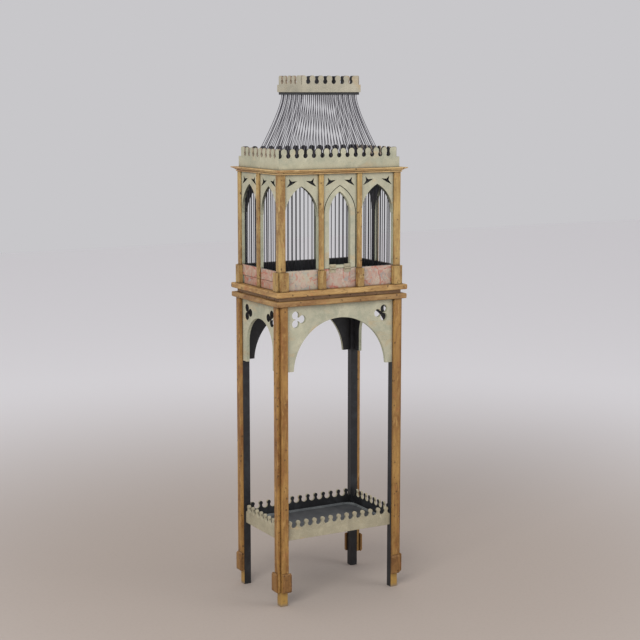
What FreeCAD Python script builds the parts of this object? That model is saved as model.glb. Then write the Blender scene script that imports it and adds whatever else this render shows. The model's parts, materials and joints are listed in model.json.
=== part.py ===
import FreeCAD, Part
import math
import os

# Gothic painted bird cage on a tall four-legged stand.  Millimetres, +Z up,
# front faces -Y, origin on the floor under the middle of the footprint.
V = FreeCAD.Vector

# --- overall plan -----------------------------------------------------------
HALF_W = 186.0            # outer face of the corner posts, left and right
HALF_D = 122.0            # outer face of the corner posts, front and back
POST = 21.0               # side of a square post
SIDE_ANGLE = {"front": 0, "right": 90, "back": 180, "left": 270}
CORNERS = {"front_left": (-1, -1), "front_right": (1, -1), "back_left": (-1, 1), "back_right": (1, 1)}

# --- stand ------------------------------------------------------------------
STAND_TOP_Z0 = 825.5      # underside of the stand's top board
STAND_TOP_Z1 = 840.0
STAND_OVERHANG = 15.0
SLAB_ROUND = 3.0          # rounding along the edge of both boards
STRIP_T = 9.0             # pilaster strip on the outer faces of a leg
STRIP_W = 20.0
PAD_Z0 = 41.0             # plinth pads near the foot
PAD_Z1 = 95.0
PAD_T = 6.0
PAD_W = 26.0
BACK_PAD_T = 8.0
PAD_CHAMFER = 5.0
APRON_T = 9.0
APRON_Z0 = 648.0
APRON_SET = 1.0           # apron face behind the face of the posts
FRONT_ARCH_R = 144.0
FRONT_ARCH_Z = 641.0      # centre of the round front arch
SIDE_ARCH_R = 78.0
SIDE_ARCH_Z = 701.0
TREFOIL_IN = 34.0         # trefoil centre from the inner face of the post
TREFOIL_Z = 788.0
TREFOIL_ARM = 13.2
TREFOIL_R = 11.0

# --- shelf in the stand -----------------------------------------------------
RAIL_Z0 = 181.5
RAIL_GAP_Z = 213.7        # bottom of the gaps between the knobs
RAIL_TOP_Z = 234.5
RAIL_SET = 6.0
RAIL_T = 7.0
KNOB_R = 5.8
KNOB_NECK = 7.6
SHELF_T = 8.0
PAN_HALF_W = 163.0
PAN_HALF_D = 99.0
PAN_CORNER = 28.0
PAN_H = 7.5
PAN_T = 1.2
PAN_BEAD = 1.4

# --- cage base and walls ----------------------------------------------------
CAGE_HALF_W = 188.0       # outer side faces of the cage's corner posts
FRONT_FACE_W = 20.0       # width of a cage post seen from the front or back
SIDE_FACE_W = 17.6        # its width seen from the left or right
NECK_OVER = 3.0
BASE_Z0 = 850.6           # underside of the cage's base board
BASE_Z1 = 865.2
BASE_OVERHANG = 16.0
BAND_Z1 = 918.0           # top of the marbled plinth boards
FRONT_SET = 5.5           # boards and door behind the post faces, front and back
SIDE_SET = 4.0            # the same in the side walls
FRONT_T = 14.0            # thickness of the front and back boards and the door
SIDE_T = 9.0              # thickness of the side boards
BLOCK_T = 9.0             # plinth blocks in front of the front and back post faces
SIDE_BLOCK_T = 7.5
BLOCK_Z1 = 916.0
FRONT_BLOCK_W = 25.0
SIDE_BLOCK_W = 21.4
MULLION_W = 14.0
SIDE_MULLION_W = 18.0
MULLION_X = 59.0          # front and back mullions either side of the middle
MULLION_BLOCK_W = 19.0
CORNICE_Z0 = 1173.0
CORNICE_Z1 = 1185.5
CORNICE_OVERHANG = 15.5

# --- pointed bays -----------------------------------------------------------
ARCH_R = 90.0
ARCH_APEX_Z = 1141.5
STILE = 1.2               # sliver of panel left beside each arch
DAGGER_X = 31.0           # pierced three-pointed figures beside each apex
SIDE_DAGGER_X = 28.0
DAGGER_Z = 1150.5
DAGGER_TIPS = ((-17.5, 5.0), (6.5, 12.0), (13.5, -11.0))
DAGGER_WAIST = 4.6

# --- wires ------------------------------------------------------------------
WIRE_R = 1.05
ROOF_WIRE_R = 0.9
WIRE_DEPTH = 0.7          # place of the wires within the thickness of the boards
WIRE_PITCH = 12.4
WIRE_END_GAP = 3.0        # least space between a bay's end wires and its sides
WIRE_SHIFT = 4.0          # the rows in the door, the right front and a back bay stand off centre
ROOF_HALF_W = 158.0       # foot of the corner roof wires
ROOF_HALF_D = 98.0
ROOF_TOP_W = 80.5
ROOF_TOP_D = 63.0
ROOF_KNEE_Z = 1339.0
ROOF_FRONT_WIRES = 27
ROOF_SIDE_WIRES = 15

# --- pierced galleries above the cornice and on the crown -------------------
PARAPET_HALF_W = 184.0
PARAPET_HALF_D = 121.0
GALLERY_T = 6.0
PARAPET_SLOT_Z = 1215.5
PARAPET_TOP_Z = 1240.0
CROWN_Z0 = 1380.0
CROWN_BAND_Z = 1387.0
CROWN_SLOT_Z = 1408.5
CROWN_TOP_Z = 1431.0
CROWN_HALF_W = 89.5
CROWN_HALF_D = 72.0
CROWN_LIP = 3.0           # the crown board's lower step stands back this far from the gallery's face
SLOT_HOLE_R = 6.5
SLOT_NECK = 8.8
SLOT_SHOULDER = 7.9

# --- door -------------------------------------------------------------------
DOOR_GAP = 1.2
DOOR_SIDE_GAP = 3.8
DOOR_Z0 = 919.2
DOOR_RAIL_Z = 927.0
DOOR_STILE = 15.0
HINGE_X = 23.0
HINGE_W = 20.0
HINGE_PIN_R = 0.9
HINGE_BARREL_R = 2.0
HINGE_PIN_PLAY = 0.06
HINGE_Z = 918.6
LEAF_T = 1.0
LEAF_H = 9.5

# --- drawer -----------------------------------------------------------------
DRAWER_Z0 = 865.7
DRAWER_Z1 = 888.2
DRAWER_Y0 = -99.8         # front end of the drawer front
DRAWER_Y1 = 91.0          # its back end, short of the corner block
DRAWER_T = 8.0
DRAWER_GAP = 0.8          # between the drawer and the board above it
TRAY_HALF = 95.0
TRAY_Z1 = 885.0
TRAY_WALL = 4.0
TRAY_FLOOR = 2.0
GUIDE_Y = HALF_D - FRONT_SET - FRONT_T
GUIDE_W = 5.0
GUIDE_H = 9.0


def box(x0, x1, y0, y1, z0, z1):
    return Part.makeBox(x1 - x0, y1 - y0, z1 - z0, V(x0, y0, z0))


def line(p, q):
    return Part.LineSegment(p, q).toShape()


def arc(p, mid, q):
    return Part.Arc(p, mid, q).toShape()


def plate(edges, y0, y1):
    """Solid between planes y0 and y1 from a closed outline drawn in X and Z at y0."""
    face = Part.Face(Part.Wire(Part.__sortEdges__(edges)))
    return face.extrude(V(0, y1 - y0, 0))


def polygon(points, y):
    corners = [V(x, y, z) for x, z in points]
    return [line(a, b) for a, b in zip(corners, corners[1:] + corners[:1])]


def turned(shape, side):
    """A wall piece drawn for the front, turned about Z to another side."""
    copy = shape.copy()
    copy.rotate(V(0, 0, 0), V(0, 0, 1), SIDE_ANGLE[side])
    return copy


def wall_half(side):
    """Half length of a wall and the distance of its post faces from the middle."""
    if side in ("front", "back"):
        return HALF_W, HALF_D
    return HALF_D, HALF_W


def cage_wall(side):
    """Half length, distance of the post faces, width of a post, set-back and thickness of the boards."""
    if side in ("front", "back"):
        return CAGE_HALF_W, HALF_D, FRONT_FACE_W, FRONT_SET, FRONT_T
    return HALF_D, CAGE_HALF_W, SIDE_FACE_W, SIDE_SET, SIDE_T


def save(name, solids):
    if not isinstance(solids, list):
        solids = [solids]
    shape = solids[0] if len(solids) == 1 else Part.makeCompound(solids)
    shape.exportStep("parts/" + name + ".step")


def one(shape):
    """The single clean solid of a boolean result."""
    return shape.removeSplitter().Solids[0]


# --- legs -------------------------------------------------------------------
def leg(sx, sy):
    x0, x1 = sorted((sx * HALF_W, sx * (HALF_W - POST)))
    y0, y1 = sorted((sy * HALF_D, sy * (HALF_D - POST)))
    return box(x0, x1, y0, y1, 0, STAND_TOP_Z0)


def strip_on_leg(side, end):
    """Pilaster strip on one face; end is -1 or 1 along the wall."""
    half, face = wall_half(side)
    x0, x1 = sorted((end * half, end * (half - STRIP_W)))
    strip = box(x0, x1, -face - STRIP_T, -face, PAD_Z0, STAND_TOP_Z0)
    long_edges = [e for e in strip.Edges if abs(e.BoundBox.ZLength - (STAND_TOP_Z0 - PAD_Z0)) < 0.1]
    outer = [e for e in long_edges if e.BoundBox.YMin < -face - STRIP_T + 0.1]
    return turned(strip.makeFillet(1.2, outer), side)


def foot_pad(side, end):
    """Chamfered plinth pad over the foot of a pilaster strip, or on the bare post at the back."""
    half, face = wall_half(side)
    base = face + (STRIP_T if side != "back" else 0.0)
    thick = PAD_T if side != "back" else BACK_PAD_T
    x0, x1 = sorted((end * half, end * (half - PAD_W)))
    pad = box(x0, x1, -base - thick, -base, PAD_Z0, PAD_Z1)
    front = [e for e in pad.Edges if e.BoundBox.YMax < -base - thick + 0.1]
    level = [e for e in front if e.BoundBox.ZLength < 0.1]
    pad = pad.makeChamfer(PAD_CHAMFER * 0.8, level)
    return turned(pad, side)


def make_legs():
    for name, (sx, sy) in CORNERS.items():
        save("leg_" + name, leg(sx, sy))
    strips = [strip_on_leg("front", e) for e in (-1, 1)]
    strips += [strip_on_leg(s, e) for s in ("left", "right") for e in (-1, 1)]
    save("leg_strips", strips)
    save("leg_pads", [foot_pad(s, e) for s in SIDE_ANGLE for e in (-1, 1)])


# --- boards -----------------------------------------------------------------
def rounded_board(half_w, half_d, z0, z1):
    board = box(-half_w, half_w, -half_d, half_d, z0, z1)
    level = [e for e in board.Edges if e.BoundBox.ZLength < 0.1]
    return board.makeFillet(SLAB_ROUND, level)


def make_boards():
    over = STAND_OVERHANG
    save("stand_top", rounded_board(HALF_W + over, HALF_D + over, STAND_TOP_Z0, STAND_TOP_Z1))
    w = HALF_W + NECK_OVER
    d = HALF_D + NECK_OVER
    save("neck_board", box(-w, w, -d, d, STAND_TOP_Z1, BASE_Z0))
    over = BASE_OVERHANG
    save("base_board", rounded_board(HALF_W + over, HALF_D + over, BASE_Z0, BASE_Z1))


# --- aprons -----------------------------------------------------------------
def trefoil(cx, cz, outward, y0, y1):
    """Three round lobes, one of them pointing to the middle of the apron."""
    cut = None
    for turn in (0, 120, 240):
        a = math.radians(turn)
        x = cx - outward * TREFOIL_ARM * math.cos(a)
        z = cz + TREFOIL_ARM * math.sin(a)
        lobe = Part.makeCylinder(TREFOIL_R, y1 - y0, V(x, y0, z), V(0, 1, 0))
        cut = lobe if cut is None else cut.fuse(lobe)
    core = Part.makeCylinder(TREFOIL_R * 0.55, y1 - y0, V(cx, y0, cz), V(0, 1, 0))
    return cut.fuse(core)


def apron(side):
    half, face = wall_half(side)
    inner = half - POST
    y0 = -face + APRON_SET
    y1 = y0 + APRON_T
    board = box(-inner, inner, y0, y1, APRON_Z0, STAND_TOP_Z0)
    if side in ("front", "back"):
        radius, centre = FRONT_ARCH_R, FRONT_ARCH_Z
    else:
        radius, centre = SIDE_ARCH_R, SIDE_ARCH_Z
    arch = Part.makeCylinder(radius, APRON_T + 2, V(0, y0 - 1, centre), V(0, 1, 0))
    foot = box(-radius, radius, y0 - 1, y1 + 1, min(centre, APRON_Z0) - 5, centre)
    board = board.cut(arch).cut(foot)
    for s in (-1, 1):
        board = board.cut(trefoil(s * (inner - TREFOIL_IN), TREFOIL_Z, s, y0 - 1, y1 + 1))
    return turned(one(board), side)


# --- shelf ------------------------------------------------------------------
def knob_rail(half, y0, y1, count, pitch):
    """Rail with bulb-headed teeth; the gaps between them have round bottoms."""
    neck = KNOB_NECK / 2
    gap_r = (pitch - KNOB_NECK) / 2
    lift = RAIL_GAP_Z + gap_r
    head_z = RAIL_TOP_Z - KNOB_R
    join_z = head_z - math.sqrt(KNOB_R ** 2 - neck ** 2)
    first = -(count - 1) * pitch / 2
    reach = neck - first
    hollow = reach + gap_r
    shoulder = min(half, hollow)
    end_z = lift - math.sqrt(gap_r ** 2 - (shoulder - hollow) ** 2)
    mid_x = (shoulder + reach) / 2
    mid_z = lift - math.sqrt(gap_r ** 2 - (mid_x - hollow) ** 2)
    edges = [line(V(-half, y0, RAIL_Z0), V(half, y0, RAIL_Z0))]
    for s in (-1, 1):
        edges.append(line(V(s * half, y0, RAIL_Z0), V(s * half, y0, end_z)))
        if half - shoulder > 0.01:
            edges.append(line(V(s * half, y0, end_z), V(s * shoulder, y0, end_z)))
        edges.append(arc(V(s * shoulder, y0, end_z), V(s * mid_x, y0, mid_z), V(s * reach, y0, lift)))
    for i in range(count):
        x = first + i * pitch
        left = V(x - neck, y0, join_z)
        right = V(x + neck, y0, join_z)
        foot = V(x + neck, y0, lift)
        edges.append(line(V(x - neck, y0, lift), left))
        edges.append(arc(left, V(x, y0, RAIL_TOP_Z), right))
        edges.append(line(right, foot))
        if i < count - 1:
            far = V(x + pitch - neck, y0, lift)
            edges.append(arc(foot, V(x + pitch / 2, y0, RAIL_GAP_Z), far))
    return plate(edges, y0, y1)


def shelf_rail(side):
    half, face = wall_half(side)
    y0 = -face + RAIL_SET
    count, pitch = (13, 25.5) if side in ("front", "back") else (8, 25.0)
    return turned(knob_rail(half - POST, y0, y0 + RAIL_T, count, pitch), side)


def shelf_board():
    w = HALF_W - RAIL_SET - RAIL_T
    d = HALF_D - RAIL_SET - RAIL_T
    board = box(-w, w, -d, d, RAIL_Z0, RAIL_Z0 + SHELF_T)
    for sx, sy in CORNERS.values():
        board = board.cut(leg(sx, sy))
    return one(board)


def rounded_block(half_w, half_d, corner, z0, z1):
    block = box(-half_w, half_w, -half_d, half_d, z0, z1)
    upright = [e for e in block.Edges if e.BoundBox.ZLength > (z1 - z0) * 0.9]
    return block.makeFillet(corner, upright)


def shelf_pan():
    """Shallow sheet-metal liner with rounded corners and a rolled rim."""
    z0 = RAIL_Z0 + SHELF_T
    z1 = z0 + PAN_H
    outer = rounded_block(PAN_HALF_W, PAN_HALF_D, PAN_CORNER, z0, z1)
    inner = rounded_block(PAN_HALF_W - PAN_T, PAN_HALF_D - PAN_T, PAN_CORNER - PAN_T, z0 + PAN_T, z1 + 1)
    rim_out = rounded_block(PAN_HALF_W + PAN_BEAD, PAN_HALF_D + PAN_BEAD, PAN_CORNER + PAN_BEAD,
                            z1 - 2 * PAN_BEAD, z1)
    rim_in = rounded_block(PAN_HALF_W - PAN_T, PAN_HALF_D - PAN_T, PAN_CORNER - PAN_T,
                           z1 - 3 * PAN_BEAD, z1 + 1)
    top = [e for e in rim_out.Edges if e.BoundBox.ZLength < 0.01]
    rim_out = rim_out.makeFillet(PAN_BEAD * 0.9, top)
    return one(outer.cut(inner).fuse(rim_out.cut(rim_in)))


# --- cage posts, mullions, plinth -------------------------------------------
def cage_post(sx, sy):
    x0, x1 = sorted((sx * CAGE_HALF_W, sx * (CAGE_HALF_W - FRONT_FACE_W)))
    y0, y1 = sorted((sy * HALF_D, sy * (HALF_D - SIDE_FACE_W)))
    return box(x0, x1, y0, y1, BASE_Z1, CORNICE_Z0)


def corner_block(side, end):
    """Plinth block on one face of a corner post, lapping over the end of the bay."""
    half, face, post_w, setback, thick = cage_wall(side)
    width, proud = (FRONT_BLOCK_W, BLOCK_T) if side in ("front", "back") else (SIDE_BLOCK_W, SIDE_BLOCK_T)
    x0, x1 = sorted((end * half, end * (half - width)))
    block = box(x0, x1, -face - proud, -face, BASE_Z1, BLOCK_Z1)
    x0, x1 = sorted((end * (half - post_w), end * (half - width)))
    lap = box(x0, x1, -face - proud, -face + setback, BASE_Z1, BLOCK_Z1)
    return turned(one(block.fuse(lap)), side)


def front_mullion(side, x):
    """Upright between two bays; a wider block stands at its foot."""
    w = MULLION_W / 2
    board = -HALF_D + FRONT_SET
    outer = box(x - w, x + w, -HALF_D, board, BLOCK_Z1, CORNICE_Z0)
    inner = box(x - w, x + w, board, board + FRONT_T, BAND_Z1, CORNICE_Z0)
    return turned(one(outer.fuse(inner)), side)


def side_mullion(side, foot_z):
    """Upright in the middle of a side wall, running down over the plinth board."""
    w = SIDE_MULLION_W / 2
    board = -CAGE_HALF_W + SIDE_SET
    outer = box(-w, w, -CAGE_HALF_W, board, foot_z, CORNICE_Z0)
    inner = box(-w, w, board, board + SIDE_T, BAND_Z1, CORNICE_Z0)
    return turned(one(outer.fuse(inner)), side)


def mullion_block(side, x):
    w = MULLION_BLOCK_W / 2
    return turned(box(x - w, x + w, -HALF_D - BLOCK_T, -HALF_D + FRONT_SET, BASE_Z1, BLOCK_Z1), side)


def plinth_board(side, z0):
    half, face, post_w, setback, thick = cage_wall(side)
    inner = half - post_w
    return turned(box(-inner, inner, -face + setback, -face + setback + thick, z0, BAND_Z1), side)


def make_cage_frame():
    for name, (sx, sy) in CORNERS.items():
        save("post_" + name, cage_post(sx, sy))
    save("corner_blocks", [corner_block(s, e) for s in SIDE_ANGLE for e in (-1, 1)])
    spots = [(s, x) for s in ("front", "back") for x in (-MULLION_X, MULLION_X)]
    over_drawer = DRAWER_Z1 + DRAWER_GAP
    uprights = [front_mullion(s, x) for s, x in spots]
    uprights += [side_mullion("left", over_drawer), side_mullion("right", BASE_Z1)]
    save("mullions", uprights)
    save("mullion_blocks", [mullion_block(s, x) for s, x in spots])
    for side in SIDE_ANGLE:
        save("plinth_" + side, plinth_board(side, over_drawer if side == "left" else BASE_Z1))


# --- pointed panels ---------------------------------------------------------
def bays(side):
    """Centre and clear half width of each bay of a wall."""
    half, face, post_w, setback, thick = cage_wall(side)
    inner = half - post_w
    if side in ("front", "back"):
        m = MULLION_W / 2
        outer_half = (inner - MULLION_X - m) / 2
        outer_x = inner - outer_half
        return [(-outer_x, outer_half), (0.0, MULLION_X - m), (outer_x, outer_half)]
    clear = (inner - SIDE_MULLION_W / 2) / 2
    return [(-inner + clear, clear), (inner - clear, clear)]


def spring_z(span):
    """Height at which an arch of the given half span becomes upright."""
    return ARCH_APEX_Z - math.sqrt(2 * ARCH_R * span - span * span)


def arch_mid(span, apex_z, radius):
    """Point half way along the right-hand arc, relative to the middle of the bay."""
    base_z = apex_z - math.sqrt(2 * radius * span - span * span)
    centre_x = span - radius
    top = math.atan2(apex_z - base_z, -centre_x)
    return centre_x + radius * math.cos(top / 2), base_z + radius * math.sin(top / 2)


def dagger(cx, cz, mirror, y0, y1):
    """Pierced figure with three points."""
    points = []
    angles = [math.atan2(z, x) for x, z in DAGGER_TIPS]
    order = sorted(range(3), key=lambda i: angles[i])
    for k in range(3):
        i = order[k]
        j = order[(k + 1) % 3]
        points.append(DAGGER_TIPS[i])
        next_angle = angles[j] if angles[j] > angles[i] else angles[j] + 2 * math.pi
        mid = (angles[i] + next_angle) / 2
        points.append((DAGGER_WAIST * math.cos(mid), DAGGER_WAIST * math.sin(mid)))
    placed = [(cx + mirror * x, cz + z) for x, z in points]
    return plate(polygon(placed, y0), y0, y1)


def arch_panel(side, cx, clear):
    half, face, post_w, setback, thick = cage_wall(side)
    y0 = -face + setback
    y1 = y0 + thick
    span = clear - STILE
    low = spring_z(span)
    mx, mz = arch_mid(span, ARCH_APEX_Z, ARCH_R)
    apex = V(cx, y0, ARCH_APEX_Z)
    edges = [
        line(V(cx - clear, y0, low), V(cx - clear, y0, CORNICE_Z0)),
        line(V(cx - clear, y0, CORNICE_Z0), V(cx + clear, y0, CORNICE_Z0)),
        line(V(cx + clear, y0, CORNICE_Z0), V(cx + clear, y0, low)),
        line(V(cx + clear, y0, low), V(cx + span, y0, low)),
        arc(V(cx + span, y0, low), V(cx + mx, y0, mz), apex),
        arc(apex, V(cx - mx, y0, mz), V(cx - span, y0, low)),
        line(V(cx - span, y0, low), V(cx - clear, y0, low)),
    ]
    panel = plate(edges, y0, y1)
    reach = DAGGER_X if side in ("front", "back") else SIDE_DAGGER_X
    for s in (-1, 1):
        panel = panel.cut(dagger(cx + s * reach, DAGGER_Z, s, y0 - 1, y1 + 1))
    return turned(one(panel), side)


def soffit_z(offset, span, apex_z, radius):
    """Height of a pointed soffit above the outer flank of a wire standing at the given offset."""
    base = apex_z - math.sqrt(2 * radius * span - span * span)
    flank = abs(offset) + WIRE_R
    return base + math.sqrt(radius ** 2 - (flank + radius - span) ** 2)


def bay_wires(side, cx, clear, shift=0.0):
    """Upright wires from the plinth board to the soffit of the arch.

    shift is how far the row stands to the right of the bay's middle.
    """
    half, face, post_w, setback, thick = cage_wall(side)
    y = -face + setback + WIRE_DEPTH * thick
    count = int(2 * (clear - WIRE_END_GAP) / WIRE_PITCH)
    wires = []
    for i in range(count):
        offset = (i - (count - 1) / 2) * WIRE_PITCH + shift
        top = soffit_z(offset, clear - STILE, ARCH_APEX_Z, ARCH_R)
        wire = Part.makeCylinder(WIRE_R, top - BAND_Z1, V(cx + offset, y, BAND_Z1), V(0, 0, 1))
        wires.append(turned(wire, side))
    return wires


def make_bays():
    for side in SIDE_ANGLE:
        save("arches_" + side, [arch_panel(side, cx, clear) for cx, clear in bays(side)])
    left_bay, middle_bay, right_bay = bays("front")
    save("wires_front_left", bay_wires("front", *left_bay))
    save("wires_front_right", bay_wires("front", *right_bay, WIRE_SHIFT))
    left_bay, middle_bay, right_bay = bays("back")
    wires = bay_wires("back", *left_bay, WIRE_SHIFT)
    wires += bay_wires("back", *middle_bay)
    wires += bay_wires("back", *right_bay)
    save("wires_back", wires)
    for side in ("left", "right"):
        wires = [w for cx, clear in bays(side) for w in bay_wires(side, cx, clear)]
        save("wires_" + side, wires)


# --- door -------------------------------------------------------------------
def pointed_outline(span, apex_z, radius, low, y):
    rise = math.sqrt(2 * radius * span - span * span)
    mx, mz = arch_mid(span, apex_z, radius)
    base = apex_z - rise
    apex = V(0, y, apex_z)
    return [
        line(V(-span, y, low), V(span, y, low)),
        line(V(span, y, low), V(span, y, base)),
        arc(V(span, y, base), V(mx, y, mz), apex),
        arc(apex, V(-mx, y, mz), V(-span, y, base)),
        line(V(-span, y, base), V(-span, y, low)),
    ]


def door_frame():
    y0 = -HALF_D + FRONT_SET
    y1 = y0 + FRONT_T
    clear = MULLION_X - MULLION_W / 2
    span = clear - DOOR_SIDE_GAP
    outer_r = ARCH_R - DOOR_GAP - STILE
    apex = ARCH_APEX_Z - 1.6 * DOOR_GAP
    outer = plate(pointed_outline(span, apex, outer_r, DOOR_Z0, y0), y0, y1)
    opening = plate(pointed_outline(span - DOOR_STILE, apex - DOOR_STILE, outer_r - DOOR_STILE,
                                    DOOR_RAIL_Z, y0 - 1), y0 - 1, y1 + 1)
    return one(outer.cut(opening))


def door_wires():
    """Upright wires let into the thickness of the door."""
    y = -HALF_D + FRONT_SET + WIRE_DEPTH * FRONT_T
    clear = MULLION_X - MULLION_W / 2
    span = clear - DOOR_SIDE_GAP - DOOR_STILE
    radius = ARCH_R - DOOR_GAP - STILE - DOOR_STILE
    apex = ARCH_APEX_Z - 1.6 * DOOR_GAP - DOOR_STILE
    wires = []
    for i in (-2, -1, 0, 1, 2):
        x = i * WIRE_PITCH + WIRE_SHIFT
        top = soffit_z(x, span, apex, radius)
        wires.append(Part.makeCylinder(WIRE_R, top - DOOR_RAIL_Z, V(x, y, DOOR_RAIL_Z), V(0, 0, 1)))
    return wires


def hinge_leaf(x, moving):
    """One leaf and its share of the barrel; the fixed leaf keeps the pin."""
    face = -HALF_D + FRONT_SET
    axis_y = face - HINGE_BARREL_R - 0.3
    w = HINGE_W / 2
    third = HINGE_W / 3
    if moving:
        leaf = box(x - w, x + w, face - LEAF_T, face, DOOR_Z0 + 1.2, DOOR_Z0 + 1.2 + LEAF_H)
        barrel = Part.makeCylinder(HINGE_BARREL_R, third - 0.4, V(x - third / 2 + 0.2, axis_y, HINGE_Z),
                                   V(1, 0, 0))
        arm = box(x - third / 2 + 0.2, x + third / 2 - 0.2, axis_y, face - 0.001,
                  HINGE_Z + 0.9, DOOR_Z0 + 2.4)
        bore = Part.makeCylinder(HINGE_PIN_R + HINGE_PIN_PLAY, HINGE_W, V(x - w, axis_y, HINGE_Z), V(1, 0, 0))
        return one(leaf.fuse(barrel).fuse(arm).cut(bore))
    leaf = box(x - w, x + w, face - LEAF_T, face, BAND_Z1 - 1.2 - LEAF_H, BAND_Z1 - 1.2)
    shape = leaf
    for start in (x - w, x + third / 2):
        barrel = Part.makeCylinder(HINGE_BARREL_R, third, V(start, axis_y, HINGE_Z), V(1, 0, 0))
        arm = box(start, start + third, axis_y, face - 0.001, BAND_Z1 - 2.4, HINGE_Z - 0.9)
        shape = shape.fuse(barrel).fuse(arm)
    pin = Part.makeCylinder(HINGE_PIN_R, HINGE_W, V(x - w, axis_y, HINGE_Z), V(1, 0, 0))
    return one(shape.fuse(pin))


def make_door():
    save("door_frame", door_frame())
    save("door_wires", door_wires())
    save("door_hinge_leaves", [hinge_leaf(s * HINGE_X, True) for s in (-1, 1)])
    save("fixed_hinge_leaves", [hinge_leaf(s * HINGE_X, False) for s in (-1, 1)])


# --- drawer (slides out of the left side) -----------------------------------
def make_drawer():
    face = -CAGE_HALF_W + SIDE_SET
    back = face + DRAWER_T
    w = SIDE_MULLION_W / 2
    save("drawer_front", box(face, back, DRAWER_Y0, DRAWER_Y1, DRAWER_Z0, DRAWER_Z1))
    save("drawer_block", box(-CAGE_HALF_W, face, -w, w, DRAWER_Z0, DRAWER_Z1))
    inside = CAGE_HALF_W - SIDE_SET - SIDE_T
    end = inside - 1.0
    tray = box(back, end, -TRAY_HALF, TRAY_HALF, DRAWER_Z0, TRAY_Z1)
    hollow = box(back + TRAY_WALL, end - TRAY_WALL, -TRAY_HALF + TRAY_WALL, TRAY_HALF - TRAY_WALL,
                 DRAWER_Z0 + TRAY_FLOOR, TRAY_Z1 + 1)
    save("drawer_tray", one(tray.cut(hollow)))
    guides = []
    for s in (-1, 1):
        y0, y1 = sorted((s * (GUIDE_Y - GUIDE_W), s * GUIDE_Y))
        guides.append(box(-inside, inside, y0, y1, BASE_Z1, BASE_Z1 + GUIDE_H))
    save("drawer_guides", guides)


# --- cornice ----------------------------------------------------------------
def cornice():
    """Ring with a fillet, a groove and a hollow flaring out to a thin lip."""
    fillet_z = CORNICE_Z0 + 3.4
    groove_z = CORNICE_Z0 + 4.6
    lip_z = CORNICE_Z1 - 2.2
    ring = None
    steps = [(4.0, CORNICE_Z0, 4.0, fillet_z), (2.6, fillet_z, 2.6, groove_z),
             (5.5, groove_z, 8.0, groove_z + 2.6), (8.0, groove_z + 2.6, CORNICE_OVERHANG, lip_z),
             (CORNICE_OVERHANG, lip_z, CORNICE_OVERHANG, CORNICE_Z1)]
    for out0, z0, out1, z1 in steps:
        loft = Part.makeLoft([rim(out0, z0), rim(out1, z1)], True)
        ring = loft if ring is None else ring.fuse(loft)
    well = box(-ROOF_HALF_W + 12, ROOF_HALF_W - 12, -ROOF_HALF_D + 12, ROOF_HALF_D - 12,
               CORNICE_Z0 - 1, CORNICE_Z1 + 1)
    return one(ring.cut(well))


def rim(out, z):
    w = HALF_W + out
    d = HALF_D + out
    corners = [V(-w, -d, z), V(w, -d, z), V(w, d, z), V(-w, d, z), V(-w, -d, z)]
    return Part.makePolygon(corners)


# --- slotted galleries ------------------------------------------------------
def slotted_gallery(x0, x1, y0, z_levels, first, pitch, count, ends):
    """Gallery board with keyhole slots.

    ends are the lengths of the low step at each end; a left end of None is cut as half
    a keyhole, and a right end of zero runs straight up.
    """
    z0, slot_z, z1 = z_levels
    neck = SLOT_NECK / 2
    hole_z = slot_z + SLOT_HOLE_R
    join_z = hole_z + math.sqrt(SLOT_HOLE_R ** 2 - neck ** 2)
    shoulder_z = z1 - SLOT_SHOULDER
    round_mid = SLOT_SHOULDER * (1 - math.cos(math.pi / 4))
    step_z = slot_z - 1.5
    edges = [line(V(x0, y0, z0), V(x1, y0, z0))]
    if ends[0] is None:
        flank = hole_z - SLOT_HOLE_R * math.sin(math.pi / 4)
        foot = V(x0, y0, slot_z)
        throat = V(x0 + neck, y0, join_z)
        shoulder = V(x0 + neck, y0, shoulder_z)
        pen = V(x0 + neck + SLOT_SHOULDER, y0, z1)
        edges.append(line(V(x0, y0, z0), foot))
        edges.append(arc(foot, V(x0 + SLOT_HOLE_R * math.cos(math.pi / 4), y0, flank), throat))
        edges.append(line(throat, shoulder))
        edges.append(arc(shoulder, V(x0 + neck + round_mid, y0, z1 - round_mid), pen))
    else:
        edges.append(line(V(x0, y0, z0), V(x0, y0, step_z)))
        pen = V(x0 + ends[0], y0, step_z)
        edges.append(line(V(x0, y0, step_z), pen))
        top = V(pen.x, y0, z1 - 3)
        edges.append(line(pen, top))
        pen = V(top.x + 3, y0, z1)
        edges.append(line(top, pen))
    for i in range(count):
        x = first + i * pitch
        crest = V(x - neck - SLOT_SHOULDER, y0, z1)
        down = V(x - neck, y0, shoulder_z)
        edges.append(line(pen, crest))
        edges.append(arc(crest, V(down.x - round_mid, y0, z1 - round_mid), down))
        edges.append(line(down, V(x - neck, y0, join_z)))
        edges.append(arc(V(x - neck, y0, join_z), V(x, y0, slot_z), V(x + neck, y0, join_z)))
        edges.append(line(V(x + neck, y0, join_z), V(x + neck, y0, shoulder_z)))
        pen = V(x + neck + SLOT_SHOULDER, y0, z1)
        edges.append(arc(V(x + neck, y0, shoulder_z), V(x + neck + round_mid, y0, z1 - round_mid), pen))
    crest = V(x1 - ends[1] - 3, y0, z1)
    edges.append(line(pen, crest))
    side = V(x1 - ends[1], y0, z1 - 3)
    edges.append(line(crest, side))
    if ends[1] > 0:
        edges.append(line(side, V(side.x, y0, step_z)))
        edges.append(line(V(side.x, y0, step_z), V(x1, y0, step_z)))
        side = V(x1, y0, step_z)
    edges.append(line(side, V(x1, y0, z0)))
    return plate(edges, y0, y0 + GALLERY_T)


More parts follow.
